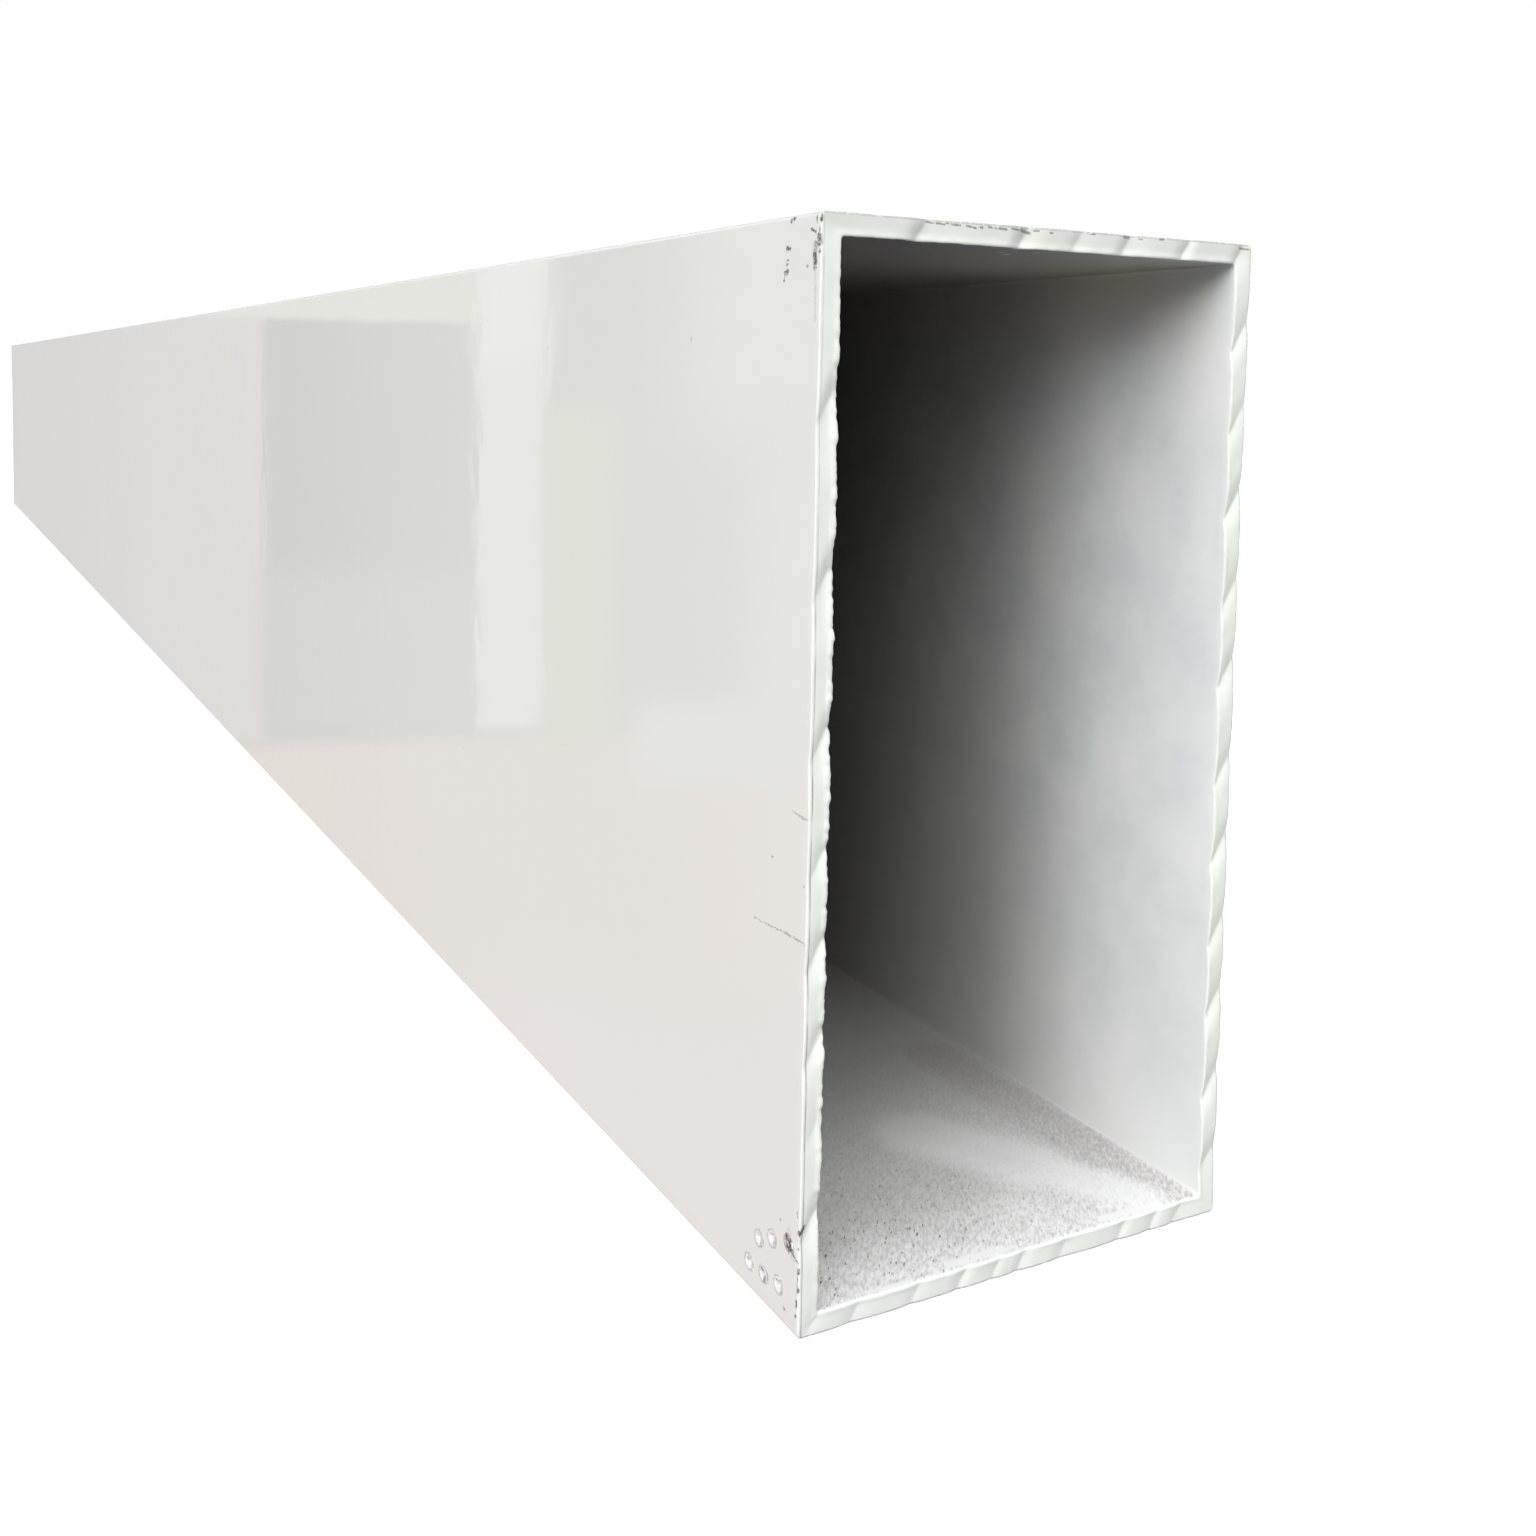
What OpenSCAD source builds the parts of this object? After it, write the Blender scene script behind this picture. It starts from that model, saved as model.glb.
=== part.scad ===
// Rectangular aluminium tube: one extruded hollow section, sawn square to length.
// It stands on its narrow side, with X across the section, Y along the tube and Z up.
// The origin is at the middle of the underside.

/* [Section] */
// Outside width of the section, mm
section_w = 50; // [30:1:120]
// Outside height of the section, mm
section_h = 100; // [40:1:200]
// Wall thickness, mm
wall_t = 2; // [1:0.1:5]
// Radius of the four outside corners, mm
outer_r = 0.5; // [0.2:0.1:3]
// Radius of the four inside corners, mm
inner_r = 0.4; // [0.2:0.1:3]

/* [Stock] */
// Length of the tube, mm
tube_l = 1000; // [100:10:6000]
// Edge break on the rims of the sawn ends, mm
edge_break = 0.2; // [0.05:0.05:0.4]

/* [Hidden] */

// Bore of the section
bore_w = section_w - 2 * wall_t;
bore_h = section_h - 2 * wall_t;
// How far a cut runs past the face that it opens
overcut = 1;
// Segments in a full circle
$fn = 64;

// Rectangle with four round corners, centred on the origin.
module round_rect(w, h, r) {
    square([w - 2 * r, h], center = true);
    square([w, h - 2 * r], center = true);
    for (x = [-1, 1], y = [-1, 1])
        translate([x * (w / 2 - r), y * (h / 2 - r)])
            circle(r);
}

// Rectangle with its four corners cut off at 45 degrees, centred on the origin.
module cut_corner_rect(w, l, cut) {
    polygon([
        [-w / 2 + cut, -l / 2], [w / 2 - cut, -l / 2],
        [w / 2, -l / 2 + cut], [w / 2, l / 2 - cut],
        [w / 2 - cut, l / 2], [-w / 2 + cut, l / 2],
        [-w / 2, l / 2 - cut], [-w / 2, -l / 2 + cut]
    ]);
}

// Stands a flat outline up in the XZ plane and extrudes it along Y, centred.
module along_tube(l) {
    rotate([90, 0, 0])
        linear_extrude(height = l, center = true)
            children();
}

// Outside of the tube, with the outer rim of both ends broken at 45 degrees.
module outside() {
    intersection() {
        along_tube(tube_l)
            round_rect(section_w, section_h, outer_r);
        linear_extrude(height = section_h, center = true)
            cut_corner_rect(section_w, tube_l, edge_break);
        rotate([0, 90, 0])
            linear_extrude(height = section_w, center = true)
                cut_corner_rect(section_h, tube_l, edge_break);
    }
}

// Outline of a bore that widens at 45 degrees towards the mouth, seen square to the tube.
module flare_outline(bore) {
    reach = edge_break + overcut;
    mouth = bore / 2 + reach;
    polygon([
        [-mouth, overcut], [mouth, overcut],
        [bore / 2 - inner_r, -edge_break - inner_r], [-bore / 2 + inner_r, -edge_break - inner_r]
    ]);
}

// Flare that breaks the inner rim of the end at y = 0, opening towards +Y.
module rim_flare() {
    span = 2 * (edge_break + overcut);
    intersection() {
        linear_extrude(height = bore_h + span, center = true)
            flare_outline(bore_w);
        rotate([0, 90, 0])
            linear_extrude(height = bore_w + span, center = true)
                flare_outline(bore_h);
    }
}

// Hollow of the tube, open at both ends.
module hollow() {
    along_tube(tube_l + 2 * overcut)
        round_rect(bore_w, bore_h, inner_r);
    for (turn = [0, 180])
        rotate([0, 0, turn])
            translate([0, tube_l / 2, 0])
                rim_flare();
}

module tube() {
    color("whitesmoke")
        translate([0, 0, section_h / 2])
            difference() {
                outside();
                hollow();
            }
}

tube();
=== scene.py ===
"""White powder-coated rectangular aluminium tube, sawn to length at both ends.

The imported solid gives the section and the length. The same tube is modelled here with the relief that the
saw left on its ends and the dents and marks of handling, every surface gets its finish, and the tube is set
on a plain pale floor under soft light.
"""

import logging
import math
from collections.abc import Callable
from dataclasses import dataclass
from enum import Enum

import bmesh
import bpy
from mathutils import Matrix, Vector


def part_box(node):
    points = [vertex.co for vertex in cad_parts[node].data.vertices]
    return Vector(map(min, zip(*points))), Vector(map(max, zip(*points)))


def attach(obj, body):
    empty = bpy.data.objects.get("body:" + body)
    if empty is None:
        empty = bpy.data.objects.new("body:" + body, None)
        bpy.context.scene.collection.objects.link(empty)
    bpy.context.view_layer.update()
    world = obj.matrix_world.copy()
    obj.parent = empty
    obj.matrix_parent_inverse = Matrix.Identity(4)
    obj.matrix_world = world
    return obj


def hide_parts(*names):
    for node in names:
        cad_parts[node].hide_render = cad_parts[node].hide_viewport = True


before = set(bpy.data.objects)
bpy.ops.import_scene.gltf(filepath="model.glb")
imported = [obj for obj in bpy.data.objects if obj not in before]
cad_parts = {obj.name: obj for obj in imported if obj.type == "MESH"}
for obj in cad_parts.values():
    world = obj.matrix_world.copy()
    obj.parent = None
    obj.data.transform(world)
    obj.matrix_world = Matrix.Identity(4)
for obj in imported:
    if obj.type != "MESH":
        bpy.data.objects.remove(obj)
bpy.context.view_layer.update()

MM = 0.001
TOUCH = 0.01 * MM
PHOTO_SIDE = 1536
LOG = logging.getLogger("tube")


class TubeEnd(Enum):
    """The two sawn ends, by the sign of Y there."""

    FRONT = -1.0
    BACK = 1.0


class Surface(Enum):
    """The surfaces of the tube, numbered as its material slots."""

    COAT = 0
    CUT = 1
    BORE = 2


class Part(Enum):
    """What is picked in edit mode, with the name of its list in a mesh."""

    EDGE = "edges"
    FACE = "faces"


def to_linear(code: str) -> tuple[float, float, float, float]:
    """Turns an sRGB hex colour to linear light.

    Args:
        code: six hex digits, two each for red, green and blue.

    Returns:
        The linear colour, with an alpha of 1.
    """
    shares = [int(code[i:i + 2], 16) / 255 for i in (0, 2, 4)]
    linear = [s / 12.92 if s <= 0.04045 else ((s + 0.055) / 1.055) ** 2.4 for s in shares]
    return (*linear, 1.0)


def add_node(
    tree: bpy.types.NodeTree, kind: str, inputs: dict | None = None, **settings: object
) -> bpy.types.Node:
    """Adds a node with its settings, its values and the links into it.

    Args:
        tree: the node tree to add to.
        kind: the type name of the node.
        inputs: a value, a node or an output socket for each input, by its name or its number.
        **settings: the node's own properties.

    Returns:
        The new node. Given as an input, a node stands for its first output in use.
    """
    node = tree.nodes.new(kind)
    for name, value in settings.items():
        setattr(node, name, value)
    for key, value in (inputs or {}).items():
        socket = node.inputs[key] if isinstance(key, int) else next(
            s for s in node.inputs if s.enabled and s.name == key
        )
        if isinstance(value, bpy.types.Node):
            value = next(s for s in value.outputs if s.enabled)
        if isinstance(value, bpy.types.NodeSocket):
            tree.links.new(value, socket)
        else:
            socket.default_value = value
    return node


def new_material(name: str) -> tuple[bpy.types.Material, bpy.types.NodeTree]:
    """Makes an empty node material.

    Args:
        name: the material's name.

    Returns:
        The material and its emptied node tree.
    """
    material = bpy.data.materials.new(name)
    material.use_nodes = True
    material.node_tree.nodes.clear()
    return material, material.node_tree


def pick(piece: bpy.types.Object, part: Part, test: Callable) -> None:
    """Selects what passes a test, and nothing else, on a piece in edit mode.

    Args:
        piece: the piece being edited.
        part: whether edges or faces are tested and selected.
        test: takes an edge or face of the mesh and says whether it is picked.
    """
    bpy.ops.mesh.select_mode(type=part.name)
    bpy.ops.mesh.select_all(action="DESELECT")
    mesh = bmesh.from_edit_mesh(piece.data)
    for item in getattr(mesh, part.value):
        if test(item):
            item.select_set(True)
    mesh.select_flush_mode()
    bmesh.update_edit_mesh(piece.data, loop_triangles=False, destructive=False)


def along(edge: bmesh.types.BMEdge, axis: int) -> float:
    """How far an edge reaches along an axis, or 0 where it leans away from it."""
    reach = edge.verts[1].co - edge.verts[0].co
    return abs(reach[axis]) if abs(reach[axis]) > 0.9 * reach.length else 0.0


def smooth_step(share: float) -> float:
    """Eases a share from 0 to 1, held to that range."""
    held = min(1.0, max(0.0, share))
    return held * held * (3 - 2 * held)


@dataclass(frozen=True)
class Stroke:
    """One saw stroke, in mm.

    It has a place across the strokes and a step, each for the low and the high half of the section.
    """

    low: float
    high: float
    low_step: float
    high_step: float


@dataclass(frozen=True)
class SawCut:
    """The stepped face that a coarse saw leaves.

    Across the strokes each facet climbs forward, runs flat, rolls over and drops sharply to the next.
    Lengths are in mm.
    """

    strokes: tuple[Stroke, ...]
    shift: float = 0.0
    angle_deg: float = 59.5
    riser: float = 1.7
    climb_share: float = 0.65
    deepest: float = 0.75
    middle: tuple[float, float] = (0.0, 50.0)
    diagonal_deg: float = -63.4
    blend: float = 6.0

    def depth(self, x: float, z: float) -> float:
        """How far the cut lies behind its highest points.

        Args:
            x: place across the section, in metres.
            z: height in the section, in metres.

        Returns:
            The depth in metres.
        """
        angle, slope = math.radians(self.angle_deg), math.radians(self.diagonal_deg)
        x, z = x / MM, z / MM
        across = x * math.sin(angle) - z * math.cos(angle) - self.shift
        off_diagonal = (z - self.middle[1]) * math.cos(slope) - (x - self.middle[0]) * math.sin(slope)
        high = smooth_step(0.5 + off_diagonal / (2 * self.blend))
        edges = [one.low + (one.high - one.low) * high for one in self.strokes]
        steps = [one.low_step + (one.high_step - one.low_step) * high for one in self.strokes]
        last = max((i for i, edge in enumerate(edges) if edge <= across), default=0)
        if last == len(edges) - 1:
            return steps[last] * MM
        run = edges[last + 1] - edges[last]
        riser = min(self.riser, 0.45 * run)
        climb = min(1.0, max(0.0, (across - edges[last]) / (self.climb_share * (run - riser))))
        fall = max(0.0, (across - edges[last + 1] + riser) / riser)
        return (steps[last] * (1 - climb) ** 2 + steps[last + 1] * fall * fall) * MM


@dataclass(frozen=True)
class Dent:
    """A small round dent with a raised rim in the left face, in mm from the front end and the floor."""

    inward: float
    up: float
    radius: float = 0.55
    rim: float = 0.08
    bowl: float = 0.2

    def lift(self, inward: float, up: float) -> float:
        """How far the face stands out at a place near the dent, or lies sunk where it is negative.

        Args:
            inward: distance from the front end, in mm.
            up: height above the floor, in mm.

        Returns:
            The height of the face, in mm.
        """
        away = math.hypot(inward - self.inward, up - self.up) / self.radius
        ring = self.rim * math.exp(-(((away - 1.15) / 0.28) ** 2))
        return ring - self.bowl * (1 - smooth_step(away))


@dataclass(frozen=True)
class Mark:
    """A mark from one place to another, in mm across the tube, from the front end and up.

    Its core is the share of its width, to each side, that it covers fully.
    """

    start: tuple[float, float, float]
    end: tuple[float, float, float]
    width: float
    core: float = 0.2


def on_side(*places: tuple[float, float, float, float, float], core: float = 0.2) -> tuple[Mark, ...]:
    """Marks on the left face, each as its start's and end's depth and height, and its width."""
    return tuple(Mark((-25.0, a, b), (-25.0, c, d), width, core) for a, b, c, d, width in places)


def on_cut(*places: tuple[float, float, float, float, float]) -> tuple[Mark, ...]:
    """Marks on the front cut, each as its start's and end's place across and height, and its width."""
    return tuple(Mark((a, 0.2, b), (c, 0.2, d), width) for a, b, c, d, width in places)


def in_bore(height: float, *places: tuple[float, float, float, float, float]) -> tuple[Mark, ...]:
    """Marks inside the tube at one height, each as its ends' places across and in, and its width."""
    return tuple(Mark((a, b, height), (c, d, height), width) for a, b, c, d, width in places)


# Marks of handling, sawing and coating, with painted highlights, shadows and shade among them
EDGE_CHIPS = on_side(
    (0.8, 99.6, 0.75, 99.0, 0.3),
    (0.0, 99.8, 0.05, 99.2, 0.45),
    (0.3, 98.6, 0.3, 98.3, 0.24),
    (0.4, 97.9, 0.35, 97.3, 0.85),
    (0.3, 96.6, 0.25, 96.5, 0.45),
    (0.1, 9.9, -0.2, 9.3, 0.6),
    (0.0, 9.2, 0.2, 8.3, 0.3),
    (0.9, 7.3, 0.2, 7.1, 0.24),
    (0.1, 6.5, 0.1, 6.2, 0.4),
    (0.1, 4.7, 0.1, 4.5, 0.35),
    (0.4, 3.5, 0.3, 2.9, 0.36),
    (0.4, 2.2, 0.4, 2.0, 0.3),
) + on_cut((-24.25, 99.6, -24.75, 98.8, 0.24), (-24.9, 9.8, -24.5, 10.4, 0.5))
CHIPS = EDGE_CHIPS + on_side(
    (5.2, 99.45, 4.5, 99.75, 0.45),
    (5.4, 97.1, 5.8, 97.1, 0.6),
    (5.7, 96.1, 5.8, 96.1, 0.3),
    (5.7, 95.7, 5.8, 95.7, 0.3),
    (5.7, 95.1, 6.1, 95.0, 0.65),
    (6.1, 94.8, 6.3, 94.3, 0.3),
    (1.6, 98.5, 1.0, 98.3, 0.45),
    (1.0, 96.3, 0.95, 95.6, 0.85),
    (2.3, 8.6, 1.5, 7.8, 0.6),
    (1.5, 8.6, 2.1, 7.7, 0.5),
    (1.9, 8.3, 1.8, 8.0, 1.1),
    (1.7, 7.7, 0.9, 7.3, 0.3),
    (1.2, 7.9, 0.8, 7.6, 0.24),
)
SCUFFS = on_side(
    (0.95, 97.2, 0.95, 95.3, 0.75),
    (2.2, 95.4, 2.3, 95.4, 0.4),
    (2.1, 8.3, 1.7, 8.0, 1.3),
    (0.2, 6.2, 0.3, 4.2, 0.3),
    (2.5, 1.7, 2.6, 1.7, 0.45),
    (3.5, 9.5, 3.6, 9.5, 0.3),
    (0.5, 11.6, 0.4, 11.2, 0.3),
    (0.5, 41.2, 0.6, 41.2, 0.3),
    (6.3, 42.4, 6.5, 42.4, 0.3),
)
RUBS = on_side((0.9, 94.8, 0.7, 90.7, 0.5), (1.9, 8.9, 1.2, 7.4, 1.4))
SCRATCHES = on_side(
    (2.8, 47.4, 1.7, 47.3, 0.26),
    (1.7, 47.3, 0.6, 47.2, 0.3),
    (0.6, 47.2, -0.6, 47.4, 0.26),
    (9.6, 35.7, 6.8, 35.9, 0.18),
    (6.8, 35.9, 3.8, 36.1, 0.24),
    (3.8, 36.1, 0.5, 36.2, 0.3),
    (0.5, 36.2, -0.3, 35.9, 0.24),
)
RIM_DIRT = on_cut(
    (-14.1, 99.75, -13.3, 99.7, 0.22),
    (-13.0, 99.7, -12.2, 99.65, 0.28),
    (-12.0, 99.75, -11.8, 99.75, 0.22),
    (-11.5, 99.7, -10.6, 99.65, 0.28),
    (-9.9, 99.65, -9.4, 99.6, 0.28),
    (-9.2, 99.55, -8.9, 99.5, 0.26),
    (-8.35, 99.6, -8.2, 99.6, 0.32),
    (-7.5, 99.7, -6.6, 99.65, 0.26),
    (-6.3, 99.65, -5.5, 99.6, 0.3),
    (-4.9, 99.7, -4.1, 99.65, 0.26),
    (-3.8, 99.65, -3.1, 99.55, 0.42),
    (-3.1, 99.5, -2.6, 99.45, 0.36),
    (-2.2, 99.7, -1.7, 99.7, 0.22),
    (-0.5, 99.6, -0.2, 99.6, 0.26),
    (4.3, 99.8, 4.9, 99.8, 0.22),
    (8.4, 99.8, 9.2, 99.75, 0.36),
    (10.4, 99.7, 10.7, 99.7, 0.26),
    (12.8, 99.8, 13.4, 99.8, 0.26),
    (23.4, 99.6, 24.6, 99.5, 0.26),
)
# Thin dark lines along the outer top, right and bottom edges of the cut: painted shade
EDGE_LINES = on_cut(
    (-24.6, 99.95, 24.6, 99.95, 0.4), (24.95, 99.6, 24.95, 0.4, 0.4), (24.6, 0.05, -24.6, 0.05, 0.4)
)
# A white line along the left bead of the cut: a painted highlight
BEAD_HIGHLIGHT = on_cut((-24.95, 0.3, -24.95, 99.7, 0.5))
WIPED = in_bore(2.0, (17.0, 4.0, 11.0, 14.0, 8.0), (11.0, 14.0, 5.0, 25.0, 13.0))
GRIME = in_bore(2.0, (22.0, 1.5, 20.0, 12.0, 5.0), (20.0, 12.0, 18.5, 42.0, 9.0))
DRIFTED = in_bore(
    2.0, (-7.5, 1.3, -1.5, 1.1, 1.8), (11.0, 1.2, 18.0, 0.8, 1.6), (-17.0, 0.7, -13.0, 0.6, 0.9)
)
DRIPS = in_bore(
    98.0, (-0.6, 6.6, -0.5, 6.2, 0.8), (-4.0, 0.8, -3.4, 0.8, 0.4), (0.2, 3.2, 0.5, 2.8, 0.5),
    (0.0, 0.3, 1.2, 0.3, 0.4), (-2.6, 5.0, -2.5, 4.6, 0.6),
)
DENTS = (
    Dent(7.4, 5.9),
    Dent(4.9, 7.1),
    Dent(1.9, 8.1, bowl=0.24),
    Dent(9.2, 2.7),
    Dent(6.4, 2.9, bowl=0.24),
    Dent(3.6, 3.3),
)
KNOCKS = [(one.inward, one.up, one.inward + 0.1, one.up) for one in DENTS]
# A grey ring round each dent: painted shadow
DENT_SHADOW_RINGS = on_side(*((*place, 1.75) for place in KNOCKS), core=0.45)
# A white spot in each dent more than 2 mm from the end: a painted highlight
DENT_HIGHLIGHTS = on_side(*((*place, 1.4) for place in KNOCKS if place[0] > 2), core=0.42)
# A dark stroke in the bowls of the dents: painted shade
DENT_SHADES = on_side(
    (7.3, 6.0, 7.0, 5.6, 0.45),
    (5.0, 7.4, 4.7, 6.8, 0.5),
    (9.5, 2.9, 9.3, 2.6, 0.3),
    (6.7, 3.3, 6.2, 2.5, 0.65),
    (3.9, 3.7, 3.4, 3.5, 0.36),
)


def mark_mask(
    tree: bpy.types.NodeTree, place: bpy.types.NodeSocket, front: float, marks: tuple[Mark, ...]
) -> bpy.types.NodeSocket:
    """Builds the nodes that find a set of marks on a surface.

    Args:
        tree: the material's node tree.
        place: the position on the surface, in metres.
        front: the Y of the front end, in metres.
        marks: the marks to find.

    Returns:
        A socket that is 1 on a mark and falls to 0 at its edge.
    """
    found: bpy.types.NodeSocket | float = 0.0
    for mark in marks:
        start, end = (Vector((x * MM, front + y * MM, z * MM)) for x, y, z in (mark.start, mark.end))
        way = end - start
        offset = add_node(tree, "ShaderNodeVectorMath", {0: place, 1: start}, operation="SUBTRACT")
        reach = add_node(
            tree, "ShaderNodeVectorMath", {0: offset, 1: way.normalized()}, operation="DOT_PRODUCT"
        ).outputs["Value"]
        held = add_node(tree, "ShaderNodeClamp", {"Value": reach, "Min": 0.0, "Max": way.length})
        nearest = add_node(
            tree, "ShaderNodeVectorMath", {0: way.normalized(), "Scale": held}, operation="SCALE"
        )
        gap = add_node(
            tree, "ShaderNodeVectorMath", {0: offset, 1: nearest}, operation="DISTANCE"
        ).outputs["Value"]
        shade = add_node(
            tree, "ShaderNodeMapRange",
            {"Value": gap, "From Min": 0.55 * mark.width * MM, "From Max": mark.core * mark.width * MM},
            interpolation_type="SMOOTHSTEP",
        )
        found = add_node(tree, "ShaderNodeMath", {0: found, 1: shade}, operation="MAXIMUM").outputs[0]
    return found


def lay_marks(
    tree: bpy.types.NodeTree, colour: bpy.types.Node, broken: bpy.types.Node, front: float,
    layers: tuple[tuple[bpy.types.NodeSocket, tuple[Mark, ...], str, float], ...],
) -> bpy.types.Node:
    """Lays sets of marks over a colour, each on the one before.

    Args:
        tree: the material's node tree.
        colour: the node with the colour underneath.
        broken: a noise from 0 to 1 that breaks the marks up.
        front: the Y of the front end, in metres.
        layers: for each set, the position on the surface, its marks, its colour and its cover.

    Returns:
        The node with the colour, marks and all.
    """
    for place, marks, code, cover in layers:
        found = mark_mask(tree, place, front, marks)
        patchy = add_node(tree, "ShaderNodeMath", {0: found, 1: broken}, operation="MULTIPLY")
        share = add_node(tree, "ShaderNodeMath", {0: patchy, 1: cover}, operation="MULTIPLY")
        colour = add_node(
            tree, "ShaderNodeMix",
            {"Factor": share, "A": colour, "B": to_linear(code)}, data_type="RGBA",
        )
    return colour


@dataclass(frozen=True)
class PowderCoat:
    """White polyester powder, sprayed on and stoved.

    It gives the eye a clean, slightly warm white with a wet gloss, a faint orange peel in its reflections,
    and dark chips, purple-grey scuffs and thin scratches where the tube took knocks. Each dent gets a ring
    of painted shadow, a white painted highlight and a dark stroke of painted shade in its bowl.
    """

    front: float
    name: str = "white_polyester_powder_coat"
    white: str = "EFEFEA"
    shaded_white: str = "EBEBE6"
    chip: str = "3C3836"
    # Purple-grey of the scuffs, also laid as painted shadow rings round the dents
    scuff_and_dent_shadow: str = "7F757B"
    rub: str = "A79DA1"
    # Painted highlight in the dents
    dent_highlight: str = "FCFCFA"
    # Painted shade in the bowls of the dents
    core: str = "6A5F62"
    scratch: str = "9C9A94"
    cloud_mm: float = 70.0
    peel_mm: float = 5.0
    peel_height_mm: float = 0.014
    ragged_mm: float = 0.5
    fray_mm: float = 0.5
    grain_mm: float = 0.25
    speck_mm: float = 9.0

    def material(self) -> bpy.types.Material:
        """Builds the coat's node material.

        Returns:
            The finished material.
        """
        material, tree = new_material(self.name)
        place = add_node(tree, "ShaderNodeTexCoord").outputs["Object"]
        cloud = add_node(
            tree, "ShaderNodeTexNoise", {"Vector": place, "Scale": 1 / (self.cloud_mm * MM), "Detail": 2.0}
        )
        colour = add_node(
            tree, "ShaderNodeMix",
            {"Factor": cloud, "A": to_linear(self.white), "B": to_linear(self.shaded_white)},
            data_type="RGBA",
        )
        ragged = add_node(
            tree, "ShaderNodeTexNoise", {"Vector": place, "Scale": 1 / (self.ragged_mm * MM), "Detail": 3.0}
        ).outputs["Color"]
        sway = add_node(
            tree, "ShaderNodeVectorMath", {0: ragged, 1: (0.5, 0.5, 0.5)}, operation="SUBTRACT"
        )
        frayed = add_node(
            tree, "ShaderNodeVectorMath", {0: sway, 1: (self.fray_mm * MM,) * 3, 2: place},
            operation="MULTIPLY_ADD",
        ).outputs[0]
        grain = add_node(
            tree, "ShaderNodeTexNoise", {"Vector": place, "Scale": 1 / (self.grain_mm * MM), "Detail": 2.0}
        )
        broken = add_node(
            tree, "ShaderNodeMapRange", {"Value": grain, "From Min": 0.3, "From Max": 0.55}
        )
        colour = lay_marks(tree, colour, broken, self.front, (
            (frayed, RUBS, self.rub, 0.35),
            (frayed, SCRATCHES, self.scratch, 0.8),
            (frayed, SCUFFS, self.scuff_and_dent_shadow, 0.8),
            # At the dents: rings of painted shadow, painted highlights and strokes of painted shade
            (frayed, DENT_SHADOW_RINGS, self.scuff_and_dent_shadow, 0.6),
            (frayed, DENT_HIGHLIGHTS, self.dent_highlight, 0.95),
            (frayed, DENT_SHADES, self.core, 0.9),
            (frayed, CHIPS, self.chip, 0.96),
        ))
        speck = add_node(
            tree, "ShaderNodeTexVoronoi", {"Vector": place, "Scale": 1 / (self.speck_mm * MM)}
        ).outputs["Distance"]
        dust = add_node(
            tree, "ShaderNodeMapRange", {"Value": speck, "From Min": 0.03, "From Max": 0.012, "To Max": 0.3}
        )
        colour = add_node(
            tree, "ShaderNodeMix",
            {"Factor": dust, "A": colour, "B": to_linear(self.chip)}, data_type="RGBA",
        )
        peel = add_node(
            tree, "ShaderNodeTexNoise", {"Vector": place, "Scale": 1 / (self.peel_mm * MM), "Detail": 1.0}
        )
        relief = add_node(
            tree, "ShaderNodeBump",
            {"Height": peel, "Strength": 1.0, "Distance": self.peel_height_mm * MM},
        )
        gloss = add_node(
            tree, "ShaderNodeMapRange", {"Value": cloud, "From Min": 0.3, "From Max": 0.7,
                                         "To Min": 0.02, "To Max": 0.035},
        )
        shader = add_node(
            tree, "ShaderNodeBsdfPrincipled", {"Base Color": colour, "Roughness": gloss, "Normal": relief}
        )
        add_node(tree, "ShaderNodeOutputMaterial", {"Surface": shader})
        return material


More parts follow.
